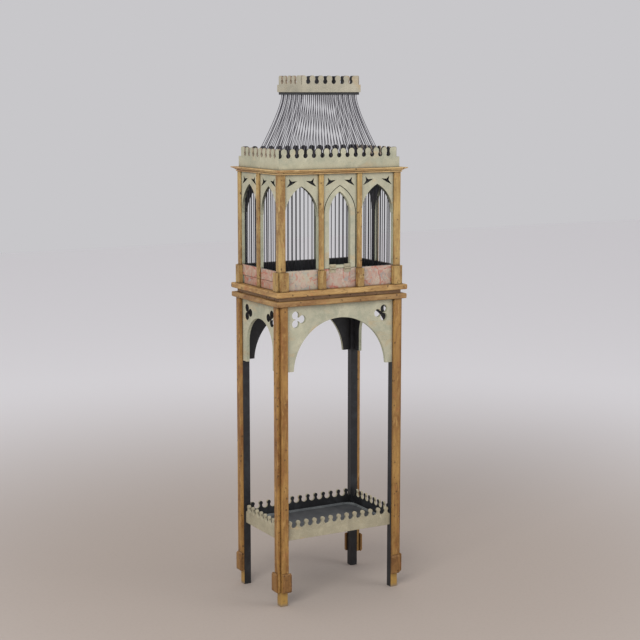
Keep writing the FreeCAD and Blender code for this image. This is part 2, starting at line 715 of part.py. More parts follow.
def make_galleries():
    levels = (CORNICE_Z1, PARAPET_SLOT_Z, PARAPET_TOP_Z)
    for side in SIDE_ANGLE:
        if side in ("front", "back"):
            w = PARAPET_HALF_W
            board = slotted_gallery(-w, w, -PARAPET_HALF_D, levels, -158.4, 25.58, 13, (None, 10.0))
        else:
            w = PARAPET_HALF_D - GALLERY_T
            board = slotted_gallery(-w, w, -PARAPET_HALF_W, levels, -82.7, 24.9, 8, (9.0, 0.0))
        save("parapet_" + side, turned(board, side))
    levels = (CROWN_BAND_Z, CROWN_SLOT_Z, CROWN_TOP_Z)
    boards = []
    for side in SIDE_ANGLE:
        if side in ("front", "back"):
            w = CROWN_HALF_W
            board = slotted_gallery(-w, w, -CROWN_HALF_D, levels, -71.9, 25.9, 6, (0.5, 7.0))
        else:
            w = CROWN_HALF_D - GALLERY_T
            board = slotted_gallery(-w, w, -CROWN_HALF_W, levels, -44.0, 25.4, 4, (3.0, 1.5))
        boards.append(turned(board, side))
    save("crown_gallery", boards)


# --- roof -------------------------------------------------------------------
def crown_board():
    """Board that closes the roof; its lower step takes the tops of the wires."""
    w = CROWN_HALF_W - CROWN_LIP
    d = CROWN_HALF_D - CROWN_LIP
    lower = box(-w, w, -d, d, CROWN_Z0, CROWN_BAND_Z)
    w = CROWN_HALF_W - GALLERY_T
    d = CROWN_HALF_D - GALLERY_T
    upper = box(-w, w, -d, d, CROWN_BAND_Z, CROWN_BAND_Z + 6)
    return one(lower.fuse(upper))


def roof_wire(x0, y0, x1, y1):
    """One wire sweeping in and up from the cornice, upright where it meets the crown."""
    foot = V(x0, y0, CORNICE_Z1)
    knee = V(x1, y1, ROOF_KNEE_Z)
    top = V(x1, y1, CROWN_Z0)
    curve = Part.BezierCurve()
    curve.setPoles([foot, knee, top])
    spine = Part.Wire(curve.toShape())
    section = Part.Wire(Part.makeCircle(ROOF_WIRE_R, foot, knee.sub(foot)))
    wire = spine.makePipeShell([section], True, False)
    wire = wire.common(box(-400, 400, -400, 400, CORNICE_Z1, CROWN_Z0))
    return wire.Solids[0]


def roof_row(side):
    """Front and back rows include the corner wires; the side rows stand between them."""
    wires = []
    if side in ("front", "back"):
        n = ROOF_FRONT_WIRES
        for i in range(n):
            t = -1 + 2 * i / (n - 1)
            wires.append(roof_wire(t * ROOF_HALF_W, -ROOF_HALF_D, t * ROOF_TOP_W, -ROOF_TOP_D))
    else:
        n = ROOF_SIDE_WIRES
        for i in range(n):
            t = -1 + 2 * (i + 1) / (n + 1)
            wires.append(roof_wire(t * ROOF_HALF_D, -ROOF_HALF_W, t * ROOF_TOP_D, -ROOF_TOP_W))
    return [turned(w, side) for w in wires]


def main():
    os.makedirs("parts", exist_ok=True)
    make_legs()
    make_boards()
    for side in SIDE_ANGLE:
        save("apron_" + side, apron(side))
        save("shelf_rail_" + side, shelf_rail(side))
    save("shelf_board", shelf_board())
    save("shelf_pan", shelf_pan())
    make_cage_frame()
    make_bays()
    make_door()
    make_drawer()
    save("cornice", cornice())
    make_galleries()
    save("crown_board", crown_board())
    for side in SIDE_ANGLE:
        save("roof_wires_" + side, roof_row(side))


main()
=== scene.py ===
"""Looks of the painted gothic bird cage on its stand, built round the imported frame.

Units are metres, +Z up, the front faces -Y.  Boards start from the frame's own
solids and get eased edges, with paint outside, black inside and their own colours
in the reveals.  Wires follow the frame's wires, and the screw heads are built here.
"""
import json
import math
import random

import bmesh
import bpy
import numpy as np
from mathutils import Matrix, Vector


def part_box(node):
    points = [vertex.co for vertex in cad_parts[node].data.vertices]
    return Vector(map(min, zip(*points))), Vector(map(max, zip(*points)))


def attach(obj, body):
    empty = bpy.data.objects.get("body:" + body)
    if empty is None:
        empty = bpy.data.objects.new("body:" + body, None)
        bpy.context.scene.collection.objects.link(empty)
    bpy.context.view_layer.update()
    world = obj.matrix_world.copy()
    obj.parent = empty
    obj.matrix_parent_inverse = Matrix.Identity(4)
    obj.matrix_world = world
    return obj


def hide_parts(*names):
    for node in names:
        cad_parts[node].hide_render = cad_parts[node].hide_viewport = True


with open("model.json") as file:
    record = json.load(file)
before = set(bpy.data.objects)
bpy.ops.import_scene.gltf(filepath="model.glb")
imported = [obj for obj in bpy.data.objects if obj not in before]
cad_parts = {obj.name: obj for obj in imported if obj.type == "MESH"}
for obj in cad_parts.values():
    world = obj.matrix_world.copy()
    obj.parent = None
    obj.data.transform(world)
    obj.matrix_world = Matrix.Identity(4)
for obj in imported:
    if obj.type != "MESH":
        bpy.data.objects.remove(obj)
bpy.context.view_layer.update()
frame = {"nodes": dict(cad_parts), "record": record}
MM = 0.001
rng = random.Random(5)

SIDES = ("front", "back", "left", "right")
CORNERS = ("front_left", "front_right", "back_left", "back_right")
OUT = {"front": Vector((0, -1, 0)), "back": Vector((0, 1, 0)),
       "left": Vector((-1, 0, 0)), "right": Vector((1, 0, 0))}


# --- colours ----------------------------------------------------------------
def rgb(r, g, b):
    """Linear colour from everyday 0-255 values."""
    def lin(c):
        c /= 255
        return c / 12.92 if c <= 0.04045 else ((c + 0.055) / 1.055) ** 2.4
    return lin(r), lin(g), lin(b), 1.0


class Net:
    """Short hand for building the node tree of one material."""

    def __init__(self, name, roughness=0.6, metallic=0.0):
        self.mat = bpy.data.materials.new(name)
        self.mat.use_nodes = True
        self.tree = self.mat.node_tree
        self.shader = self.tree.nodes["Principled BSDF"]
        self.shader.inputs["Roughness"].default_value = roughness
        self.shader.inputs["Metallic"].default_value = metallic
        self.shader.inputs["Specular IOR Level"].default_value = 0.35
        coords = self.add("ShaderNodeTexCoord").outputs["Object"]
        seed = self.add("ShaderNodeAttribute")
        seed.attribute_name = "seed"
        shift = self.add("ShaderNodeVectorMath", operation="SCALE")
        shift.inputs[0].default_value = (3.1, 5.7, 4.3)
        self.link(seed.outputs["Fac"], shift.inputs["Scale"])
        moved = self.add("ShaderNodeVectorMath", operation="ADD")
        self.link(coords, moved.inputs[0])
        self.link(shift.outputs[0], moved.inputs[1])
        self.place = coords
        self.coords = moved.outputs[0]
        self.seed = seed.outputs["Fac"]

    def add(self, kind, **props):
        node = self.tree.nodes.new(kind)
        for key, value in props.items():
            setattr(node, key, value)
        return node

    def link(self, a, b):
        self.tree.links.new(a, b)

    def feed(self, socket, value):
        if isinstance(value, bpy.types.NodeSocket):
            self.link(value, socket)
        else:
            socket.default_value = value

    def stretch(self, scale):
        node = self.add("ShaderNodeVectorMath", operation="MULTIPLY")
        self.link(self.coords, node.inputs[0])
        node.inputs[1].default_value = scale
        return node.outputs[0]

    def noise(self, scale, detail=3.0, rough=0.55, warp=0.0, vector=None):
        node = self.add("ShaderNodeTexNoise")
        self.link(vector or self.coords, node.inputs["Vector"])
        node.inputs["Scale"].default_value = scale
        node.inputs["Detail"].default_value = detail
        node.inputs["Roughness"].default_value = rough
        node.inputs["Distortion"].default_value = warp
        return node.outputs["Fac"]

    def cells(self, scale, vector=None, feature="F1"):
        node = self.add("ShaderNodeTexVoronoi", feature=feature)
        self.link(vector or self.coords, node.inputs["Vector"])
        node.inputs["Scale"].default_value = scale
        return node

    def warped(self, amount, scale):
        """Coordinates pushed about by a soft noise, so cell borders wander."""
        node = self.add("ShaderNodeTexNoise")
        self.link(self.coords, node.inputs["Vector"])
        node.inputs["Scale"].default_value = scale
        node.inputs["Detail"].default_value = 3.0
        push = self.add("ShaderNodeVectorMath", operation="MULTIPLY_ADD")
        self.link(node.outputs["Color"], push.inputs[0])
        push.inputs[1].default_value = (amount,) * 3
        self.link(self.coords, push.inputs[2])
        return push.outputs[0]

    def window(self, value, low, high):
        """0 below low, 1 above high, smooth between; falls the other way if low is the larger."""
        node = self.add("ShaderNodeMapRange", interpolation_type="SMOOTHSTEP")
        self.feed(node.inputs["Value"], value)
        node.inputs["From Min"].default_value = min(low, high)
        node.inputs["From Max"].default_value = max(low, high)
        node.inputs["To Min"].default_value = 0.0 if low < high else 1.0
        node.inputs["To Max"].default_value = 1.0 if low < high else 0.0
        return node.outputs["Result"]

    def math(self, kind, a, b=0.0):
        node = self.add("ShaderNodeMath", operation=kind, use_clamp=False)
        self.feed(node.inputs[0], a)
        self.feed(node.inputs[1], b)
        return node.outputs[0]

    def axis(self, index):
        node = self.add("ShaderNodeSeparateXYZ")
        self.link(self.place, node.inputs[0])
        return node.outputs[index]

    def mix(self, factor, a, b):
        node = self.add("ShaderNodeMix", data_type="RGBA")
        self.feed(node.inputs["Factor"], factor)
        self.feed(node.inputs["A"], a)
        self.feed(node.inputs["B"], b)
        return node.outputs["Result"]

    def layer(self, under, mask, share, tint):
        """Lays a tint over a colour where the mask is up, at most by the given share."""
        return self.mix(self.math("MULTIPLY", mask, share), under, tint)

    def soil_and_crease_shade(self, reach):
        """Mask of soiling and painted shade from ambient occlusion: 0 in the open, up to 1 deep in a
        crease.
        """
        node = self.add("ShaderNodeAmbientOcclusion", samples=6)
        node.inputs["Distance"].default_value = reach
        return self.window(node.outputs["AO"], 0.95, 0.35)

    def finish(self, colour, roughness=None, bumps=()):
        self.feed(self.shader.inputs["Base Color"], colour)
        if roughness is not None:
            self.feed(self.shader.inputs["Roughness"], roughness)
        normal = None
        for height, distance in bumps:
            node = self.add("ShaderNodeBump")
            node.inputs["Strength"].default_value = 1.0
            node.inputs["Distance"].default_value = distance
            self.link(height, node.inputs["Height"])
            if normal is not None:
                self.link(normal, node.inputs["Normal"])
            normal = node.outputs["Normal"]
        if normal is not None:
            self.link(normal, self.shader.inputs["Normal"])
        return self.mat

    def spread(self, value, low, high):
        """Turns a 0-1 noise into a range of roughness."""
        node = self.add("ShaderNodeMapRange")
        self.feed(node.inputs["Value"], value)
        node.inputs["To Min"].default_value = low
        node.inputs["To Max"].default_value = high
        return node.outputs["Result"]


def sage_paint(name, base, light, shade, stain_share=0.5, shadow=None):
    """Old grey-green distemper: clouds, fine flecks, yellowed stains, and soiling with painted shade in
    the creases.

    shadow is a pair of heights between which the paint turns to a dark grey-green.
    """
    net = Net(name, 0.75)
    clouds = net.noise(16, 4, 0.6, 0.4)
    colour = net.mix(net.window(clouds, 0.35, 0.68), shade, light)
    colour = net.mix(net.window(net.noise(48, 4, 0.65), 0.38, 0.66), colour, base)
    stain = net.window(net.noise(11, 3, 0.6, 0.8, net.stretch((1.0, 1.0, 1.9))), 0.54, 0.74)
    colour = net.layer(colour, stain, stain_share, rgb(190, 164, 124))
    brush = net.noise(1.0, 3, 0.6, 0.2, net.stretch((90, 90, 760)))
    colour = net.layer(colour, net.window(brush, 0.56, 0.8), 0.3, rgb(146, 146, 126))
    flecks = net.noise(330, 2, 0.7)
    colour = net.layer(colour, net.window(flecks, 0.58, 0.74), 0.5, rgb(126, 126, 104))
    grains = net.noise(520, 2, 0.6)
    colour = net.layer(colour, net.window(grains, 0.56, 0.7), 0.35, rgb(214, 208, 186))
    chips = net.window(net.noise(70, 3, 0.7, 0.6), 0.7, 0.76)
    colour = net.layer(colour, chips, 0.75, rgb(216, 206, 180))
    if shadow:
        colour = net.layer(colour, net.window(net.axis(2), *shadow), 0.9, rgb(70, 72, 64))
    # soiling and painted shade darken the creases, found by ambient occlusion
    colour = net.layer(colour, net.soil_and_crease_shade(0.007), 0.75, rgb(72, 66, 52))
    return net.finish(colour, net.spread(clouds, 0.6, 0.85), [(brush, 0.0002), (flecks, 0.00016)])


def ochre_glaze(name, along, base=(167, 138, 85), golden=(187, 158, 100), brown=(138, 104, 60), red=0.25,
                soil_and_shade_share=0.85, reach=0.006):
    """Golden glaze with a brushed grain, brown mottling, painted knots, a painted sheen, and soiling
    with painted shade in the creases.
    """
    net = Net(name, 0.5)
    long_way = {"x": (0.22, 1, 1), "y": (1, 0.22, 1), "z": (1, 1, 0.22)}[along]
    grain_coords = net.stretch(long_way)
    blotch = net.noise(34, 4, 0.6, 0.7, grain_coords)
    colour = net.mix(net.window(blotch, 0.36, 0.66), rgb(*brown), rgb(*golden))
    colour = net.layer(colour, net.window(net.noise(95, 4, 0.65), 0.46, 0.66), 0.8, rgb(*base))
    # painted sheen: streaky lighter areas laid on the glaze
    painted_sheen = tuple(min(255, c + 22) for c in golden)
    sheen_blotch = net.window(net.noise(120, 3, 0.6, 0.4, net.stretch(long_way)), 0.56, 0.7)
    colour = net.layer(colour, sheen_blotch, 0.6, rgb(*painted_sheen))
    ruddy = net.window(net.noise(30, 3, 0.6, 0.5), 0.55, 0.72)
    colour = net.layer(colour, ruddy, red, rgb(172, 106, 68))
    fine_way = {"x": (0.06, 1, 1), "y": (1, 0.06, 1), "z": (1, 1, 0.06)}[along]
    streak = net.noise(420, 3, 0.6, 0.15, net.stretch(fine_way))
    colour = net.layer(colour, net.window(streak, 0.52, 0.7), 0.55, rgb(120, 85, 46))
    mottle = net.window(net.noise(150, 3, 0.7, 1.2), 0.6, 0.7)
    colour = net.layer(colour, mottle, 0.65, rgb(100, 70, 38))
    knots = net.cells(56, net.warped(0.012, 60))
    pick = net.add("ShaderNodeSeparateColor")
    net.link(knots.outputs["Color"], pick.inputs[0])
    rare = net.window(pick.outputs[0], 0.3, 0.34)
    dots = net.window(knots.outputs["Distance"], 0.21, 0.1)
    colour = net.layer(colour, net.math("MULTIPLY", dots, rare), 0.75, rgb(70, 46, 28))
    tick_way = {"x": (1, 2.2, 2.2), "y": (2.2, 1, 2.2), "z": (2.2, 2.2, 1)}[along]
    ticks = net.cells(84, net.stretch(tick_way))
    tick_pick = net.add("ShaderNodeSeparateColor")
    net.link(ticks.outputs["Color"], tick_pick.inputs[0])
    tick = net.math("MULTIPLY", net.window(ticks.outputs["Distance"], 0.25, 0.12),
                    net.window(tick_pick.outputs[1], 0.62, 0.66))
    colour = net.layer(colour, tick, 0.75, rgb(64, 44, 30))
    # soiling and painted shade darken the creases, found by ambient occlusion
    colour = net.layer(colour, net.soil_and_crease_shade(reach), soil_and_shade_share, rgb(52, 32, 16))
    return net.finish(colour, net.spread(blotch, 0.42, 0.62), [(streak, 0.00025), (mottle, 0.0001)])


LEG_TONES = ((157, 118, 64), (174, 134, 75), (131, 90, 45))
# full up to this height, gone at this height, colour, strength
PEG_TINTS = ((0.040, 0.046, (180, 145, 76), 0.62), (0.002, 0.010, (132, 120, 104), 0.7))


def foot_ochre():
    """The glaze of the legs; below the pads the pegs are yellower, greyed where they meet the floor."""
    mat = ochre_glaze("ochre_leg", "z", *LEG_TONES)
    tree = mat.node_tree
    shader = tree.nodes["Principled BSDF"]
    colour = shader.inputs["Base Color"].links[0].from_socket
    coords = tree.nodes.new("ShaderNodeTexCoord")
    split = tree.nodes.new("ShaderNodeSeparateXYZ")
    tree.links.new(coords.outputs["Object"], split.inputs[0])
    for full_z, none_z, tint, share in PEG_TINTS:
        ramp = tree.nodes.new("ShaderNodeMapRange")
        tree.links.new(split.outputs[2], ramp.inputs["Value"])
        ramp.inputs["From Min"].default_value = full_z
        ramp.inputs["From Max"].default_value = none_z
        ramp.inputs["To Min"].default_value = share
        ramp.inputs["To Max"].default_value = 0.0
        mix = tree.nodes.new("ShaderNodeMix")
        mix.data_type = "RGBA"
        tree.links.new(ramp.outputs["Result"], mix.inputs["Factor"])
        tree.links.new(colour, mix.inputs["A"])
        mix.inputs["B"].default_value = rgb(*tint)
        colour = mix.outputs["Result"]
    tree.links.new(colour, shader.inputs["Base Color"])
    return mat


def black_paint(name, tone=(36, 36, 38), scrape_and_reflection_tone=(84, 86, 90)):
    """Thin black paint with brush marks, dust, and pale marks that are partly scrapes and partly a
    painted reflection.
    """
    net = Net(name, 0.5)
    clouds = net.noise(30, 4, 0.65, 0.5)
    colour = net.mix(net.window(clouds, 0.4, 0.72), rgb(*tone), rgb(52, 54, 57))
    brush = net.noise(260, 3, 0.6, 0.1, net.stretch((1, 1, 0.08)))
    colour = net.layer(colour, net.window(brush, 0.52, 0.75), 0.4, rgb(22, 22, 23))
    # pale marks: partly scrapes, partly a painted reflection
    scrapes_and_reflection = net.window(net.noise(75, 4, 0.75, 0.9), 0.66, 0.76)
    colour = net.layer(colour, scrapes_and_reflection, 0.5, rgb(*scrape_and_reflection_tone))
    return net.finish(colour, net.spread(clouds, 0.34, 0.6), [(brush, 0.0002)])


def marbled_paint(name, ground, second, cloud, vein, blush):
    """Painted marbling: soft clouds, faint wandering veins and a few dabs of a stronger colour."""
    net = Net(name, 0.5)
    warp = net.warped(0.03, 26)
    clouds = net.noise(24, 4, 0.6, 1.4)
    colour = net.mix(net.window(clouds, 0.4, 0.6), rgb(*ground), rgb(*second))
    pale = net.window(net.noise(36, 3, 0.6, 2.0), 0.5, 0.62)
    colour = net.layer(colour, pale, 0.9, rgb(*cloud))
    grey = net.window(net.noise(34, 3, 0.6, 1.6), 0.54, 0.66)
    colour = net.layer(colour, grey, 0.75, rgb(150, 154, 150))
    edge = net.cells(30, warp, "DISTANCE_TO_EDGE").outputs["Distance"]
    broken = net.window(net.noise(40, 2), 0.44, 0.6)
    line = net.math("MULTIPLY", net.window(edge, 0.09, 0.01), broken)
    colour = net.layer(colour, line, 0.8, rgb(*vein))
    thin = net.window(net.cells(70, warp, "DISTANCE_TO_EDGE").outputs["Distance"], 0.07, 0.01)
    broken = net.window(net.noise(58, 2), 0.5, 0.62)
    colour = net.layer(colour, net.math("MULTIPLY", thin, broken), 0.55, rgb(118, 108, 104))
    dab = net.window(net.noise(60, 3, 0.6, 1.8), 0.62, 0.7)
    colour = net.layer(colour, dab, 0.8, rgb(*blush))
    flecks = net.window(net.noise(260, 3, 0.7), 0.6, 0.75)
    colour = net.layer(colour, flecks, 0.35, rgb(132, 104, 88))
    # soiling and painted shade darken the creases, found by ambient occlusion
    colour = net.layer(colour, net.soil_and_crease_shade(0.006), 0.7, rgb(80, 58, 44))
    return net.finish(colour, net.spread(clouds, 0.4, 0.6), [(clouds, 0.0002), (line, 0.00008)])


def wire_metal(name, base, light):
    """Dull metal with clouds and small brown spots."""
    net = Net(name, 0.42, 0.4)
    rust = net.noise(120, 4, 0.7)
    colour = net.mix(net.window(rust, 0.45, 0.75), rgb(*base), rgb(*light))
    spots = net.window(net.noise(300, 2, 0.6), 0.66, 0.74)
    colour = net.layer(colour, spots, 0.5, rgb(84, 64, 52))
    return net.finish(colour, net.spread(rust, 0.35, 0.6), [(rust, 0.0001)])


def pan_metal(name, base, light):
    """Thin dark sheet with rubbed streaks and spots."""
    net = Net(name, 0.5, 0.2)
    clouds = net.noise(14, 5, 0.62, 0.9)
    colour = net.mix(net.window(clouds, 0.36, 0.7), rgb(*base), rgb(*light))
    rub = net.noise(1.0, 3, 0.6, 0.3, net.stretch((30, 260, 120)))
    colour = net.layer(colour, net.window(rub, 0.6, 0.78), 0.35, rgb(128, 134, 140))
    spots = net.window(net.noise(150, 3, 0.7), 0.66, 0.73)
    colour = net.layer(colour, spots, 0.5, rgb(44, 46, 50))
    return net.finish(colour, net.spread(clouds, 0.38, 0.62), [(clouds, 0.0006), (rub, 0.0001)])


SAGE = sage_paint("sage", rgb(180, 177, 154), rgb(196, 193, 168), rgb(162, 163, 142))
SAGE_WARM = sage_paint("sage_warm", rgb(166, 158, 134), rgb(182, 174, 148), rgb(150, 143, 122), 0.95)
SAGE_PALE = sage_paint("sage_pale", rgb(172, 166, 147), rgb(184, 178, 158), rgb(156, 152, 135), 0.5)
SAGE_JAMB = sage_paint("sage_jamb", rgb(176, 178, 154), rgb(190, 192, 168), rgb(158, 160, 138), 0.3)
SOFFIT_SHADOW = (1.06, 1.12)      # heights between which the arch soffits turn dark
# arch soffits: a darker copy of the sage for painted shade, with a painted shadow between
# SOFFIT_SHADOW's heights
SAGE_SOFFIT_SHADED = sage_paint("sage_soffit_shaded", rgb(166, 168, 145), rgb(180, 182, 159), rgb(148, 150, 129), 0.3,
                         SOFFIT_SHADOW)
JAMB_DARK = sage_paint("jamb_dark", rgb(126, 128, 114), rgb(138, 140, 124), rgb(110, 112, 100), 0.2)
# eased outer edges in a paler sage: partly rubbed paint, partly a painted highlight
SAGE_EDGE_WEAR_HIGHLIGHT = sage_paint("sage_edge_wear_highlight", rgb(190, 184, 156), rgb(206, 200, 172), rgb(150, 144, 120), 0.6)
SLOT_BROWN = sage_paint("slot_brown", rgb(158, 142, 124), rgb(172, 154, 134), rgb(138, 126, 110), 0.3)
SLOT_TAN = sage_paint("slot_tan", rgb(150, 132, 112), rgb(166, 146, 124), rgb(124, 110, 96), 0.4)
OCHRE = ochre_glaze("ochre_z", "z")
OCHRE_STRIP = ochre_glaze("ochre_strip", "z", *LEG_TONES)
OCHRE_PAD = ochre_glaze("ochre_pad", "z", (140, 102, 58), (156, 116, 66), (116, 80, 42), 0.35)
SLAB_TONES = {"base": ((175, 139, 86), (190, 155, 98), (148, 109, 65)),
              "stand": ((158, 124, 78), (172, 139, 90), (134, 97, 59)),
              "cornice": ((201, 169, 116), (217, 187, 131), (174, 134, 88))}
SLABS = {name: [ochre_glaze(name + "_slab_" + a, a, *tones, 0.55) for a in "xy"]
         for name, tones in SLAB_TONES.items()}
OCHRE_LEG = foot_ochre()
NECK_TONES = ((142, 112, 82), (158, 128, 94), (122, 94, 68))
NECK = [ochre_glaze("neck_brown_" + a, a, *NECK_TONES, 0.3, 0.45, 0.003) for a in "xy"]
BLACK = black_paint("black")
BLACK_EDGE = black_paint("black_edge", (48, 46, 42), (110, 104, 90))
MARBLE_TONES = {
    "pink": ((186, 151, 136), (184, 166, 150), (192, 180, 164), (178, 96, 80), (188, 86, 68)),
    "cream": ((186, 174, 152), (190, 168, 152), (178, 174, 156), (184, 120, 104), (188, 106, 88)),
    "salmon": ((184, 140, 122), (176, 148, 128), (190, 170, 150), (172, 92, 74), (196, 88, 62)),
    "red": ((180, 128, 108), (168, 136, 116), (178, 156, 136), (156, 80, 64), (196, 84, 58)),
}
MARBLE = {name: marbled_paint("marble_" + name, *tones) for name, tones in MARBLE_TONES.items()}
WIRE = wire_metal("dark_wire", (38, 37, 44), (60, 57, 62))
# the roof wires are the same dark wire made lighter: a painted highlight where they catch the light
ROOF_WIRE = wire_metal("roof_wire", (82, 80, 88), (108, 104, 110))
PAN = pan_metal("pan_sheet", (68, 70, 72), (92, 93, 94))
# the pan's rim in a lighter metal: partly rubbed bare, partly a painted highlight
PAN_RIM = pan_metal("pan_rim", (108, 112, 114), (138, 142, 142))


# --- meshes -----------------------------------------------------------------
def body_of_node(node):
    for body, names in frame["record"]["behaviour"]["bodies"].items():
        if node in names:
            return body
    raise KeyError(node)


def slot_of_node(node):
    for row in frame["record"]["subparts"]:
        if row["node"] == node:
            return row["material_slot"]
    raise KeyError(node)


def solids(bm):
    """Points of each separate solid; solids that only touch along an edge stay apart."""
    owner = {face: face for face in bm.faces}

    def root(face):
        while owner[face] is not face:
            owner[face] = owner[owner[face]]
            face = owner[face]
        return face

    borders = {}
    for edge in bm.edges:
        faces = edge.link_faces
        for face in faces[1:]:
            owner[root(face)] = root(faces[0])
        if len(faces) == 1:
            ends = frozenset(tuple(round(c * 1e6) for c in v.co) for v in edge.verts)
            borders.setdefault(ends, []).append(faces[0])
    for faces in borders.values():
        if len(faces) == 2:
            owner[root(faces[1])] = root(faces[0])
    found = {}
    for face in bm.faces:
        found.setdefault(root(face), {}).update((vert, None) for vert in face.verts)
    return [list(verts) for verts in found.values()]


def welded(node, whole=True):
    """The node's solids with their points joined and, if whole, their flat faces made whole."""
    bm = bmesh.new()
    bm.from_mesh(frame["nodes"][node].data)
    for verts in solids(bm):
        bmesh.ops.remove_doubles(bm, verts=verts, dist=0.002 * MM)
    if whole:
        bmesh.ops.dissolve_limit(bm, angle_limit=math.radians(0.6), verts=bm.verts[:], edges=bm.edges[:])
    bmesh.ops.recalc_face_normals(bm, faces=bm.faces[:])
    return bm


def islands(bm):
    """Lists of faces, one list for each separate solid."""
    left = set(bm.faces)
    found = []
    while left:
        start = left.pop()
        stack, group = [start], [start]
        while stack:
            for edge in stack.pop().edges:
                for face in edge.link_faces:
                    if face in left:
                        left.remove(face)
                        stack.append(face)
                        group.append(face)
        found.append(group)

    def first_corner(group):
        return min(tuple(round(c, 5) for c in vert.co) for face in group for vert in face.verts)

    return sorted(found, key=first_corner)


def ease(bm, width, segments=2, sharp=24.0):
    """Rounds every sharp edge a little and marks the new faces."""
    mark = bm.faces.layers.int.get("eased") or bm.faces.layers.int.new("eased")
    if width <= 0:
        return mark
    edges = [e for e in bm.edges if len(e.link_faces) == 2 and e.calc_face_angle() > math.radians(sharp)]
    made = bmesh.ops.bevel(bm, geom=edges, offset=width, offset_type="OFFSET", segments=segments,
                           profile=0.6, affect="EDGES", clamp_overlap=True)
    for face in made["faces"]:
        face[mark] = 1
    return mark


def settle(bm, name, body, materials, nodes=(), slot=None):
    """Makes the finished object; each solid gets a random seed for its paint."""
    layer = bm.faces.layers.float.new("seed")
    for group in islands(bm):
        value = rng.random()
        for face in group:
            face[layer] = value
    mesh = bpy.data.meshes.new(name)
    bm.to_mesh(mesh)
    bm.free()
    for material in materials:
        mesh.materials.append(material)
    obj = bpy.data.objects.new(name, mesh)
    bpy.context.scene.collection.objects.link(obj)
    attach(obj, body)
    for node in nodes:
        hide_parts(node)
    return obj


def dressed(node, materials, choose, width=0.6, cuts=(), whole=True):
    """A node's solids with eased edges and a material for each face.

    choose(face, eased, middle) gives the index of the face's material; cuts are
    planes (point, normal) along which faces are divided first.
    """
    bm = welded(node, whole)
    for point, normal in cuts:
        bmesh.ops.bisect_plane(bm, geom=bm.verts[:] + bm.edges[:] + bm.faces[:], dist=1e-6,
                               plane_co=point, plane_no=normal)
    mark = ease(bm, width * MM)
    for group in islands(bm):
        points = [v.co for f in group for v in f.verts]
        low = Vector(min(p[i] for p in points) for i in range(3))
        high = Vector(max(p[i] for p in points) for i in range(3))
        middle = (low + high) / 2
        for face in group:
            face.material_index = choose(face, face[mark] == 1, middle)
            face.smooth = face[mark] == 1
    return settle(bm, node + "_piece", body_of_node(node), materials, [node], slot_of_node(node))


CABIN_W, CABIN_D = 186 * MM, 122 * MM      # about half the cabin's width and depth
ON_SIDE = 1 * MM      # a face whose middle is this near a node's side lies on it


def side_of(point, half_w=CABIN_W, half_d=CABIN_D):
    """The wall that a point belongs to."""
    if abs(point.x) / half_w > abs(point.y) / half_d:
        return "right" if point.x > 0 else "left"
    return "back" if point.y > 0 else "front"


def painted(face, out, eased, reveal=2):
    """0 outside, 1 inside, reveal through the cut edges, 3 along the eased outer edges."""
    facing = face.normal.dot(out)
    if facing > 0.9:
        return 0
    if facing < -0.2:
        return 1
    return 3 if eased and facing > 0.2 else reveal


def panel_faces(side):
    """Board of one wall: painted outside, black inside."""
    def choose(face, eased, middle):
        return painted(face, OUT[side], eased)
    return choose


def apron_faces(side):
    """Apron: the reveals of the side ones' trefoils are black, a painted shadow."""
    def choose(face, eased, middle):
        centre = face.calc_center_median()
        pierced = math.hypot(abs(centre.y) - TREFOIL_Y, centre.z - TREFOIL_Z) < TREFOIL_REACH
        # the side trefoils' reveals take the black paint as a painted shadow
        dark = pierced and side in ("left", "right")
        return painted(face, OUT[side], eased, 1 if dark else 2)
    return choose


def arch_faces(side):
    """Arch panel: the soffits are a darker sage with a painted shadow, the small piercings black."""
    def choose(face, eased, middle):
        pierced = face.calc_center_median().z > DAGGER_LOW
        return painted(face, OUT[side], eased, 1 if pierced else 2)
    return choose


def gallery_faces(half_w, half_d, side=None):
    """Slotted gallery: the ends that show at the corners are painted like the outside.

    The slots of the side walls take material 4; the near ends of the side boards are
    black, as they show through the cut corners.
    """
    def choose(face, eased, middle):
        centre = face.calc_center_median()
        wall = side or side_of(centre, half_w, half_d)
        end = abs(centre.x) > half_w - ON_SIDE or abs(centre.y) > half_d - ON_SIDE
        if end and abs(face.normal.z) < 0.5:
            return 0
        if side in ("left", "right") and abs(centre.y) > half_d - GALLERY_T - GALLERY_EDGE:
            return 1
        found = painted(face, OUT[wall], eased)
        return 4 if found == 2 and wall in ("left", "right") else found
    return choose


# --- stand ------------------------------------------------------------------
def leg_faces(face, eased, middle):
    """Outer faces ochre, faces turned into the stand black."""
    inward = Vector((-middle.x / abs(middle.x), -middle.y / abs(middle.y), 0))
    facing = face.normal.dot(inward)
    return 1 if facing > 0.5 else 0


def plain(face, eased, middle):
    return 1 if eased else 0


def board_faces(face, eased, middle):
    """Grain runs along each edge of a board: 0 along X, 1 along Y."""
    return 1 if abs(face.normal.x) > 0.5 else 0


APRON_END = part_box("apron_left")[1].y
TREFOIL_Y, TREFOIL_Z = APRON_END - 34 * MM, 788 * MM      # middle of a side apron's trefoil
TREFOIL_REACH = 27 * MM

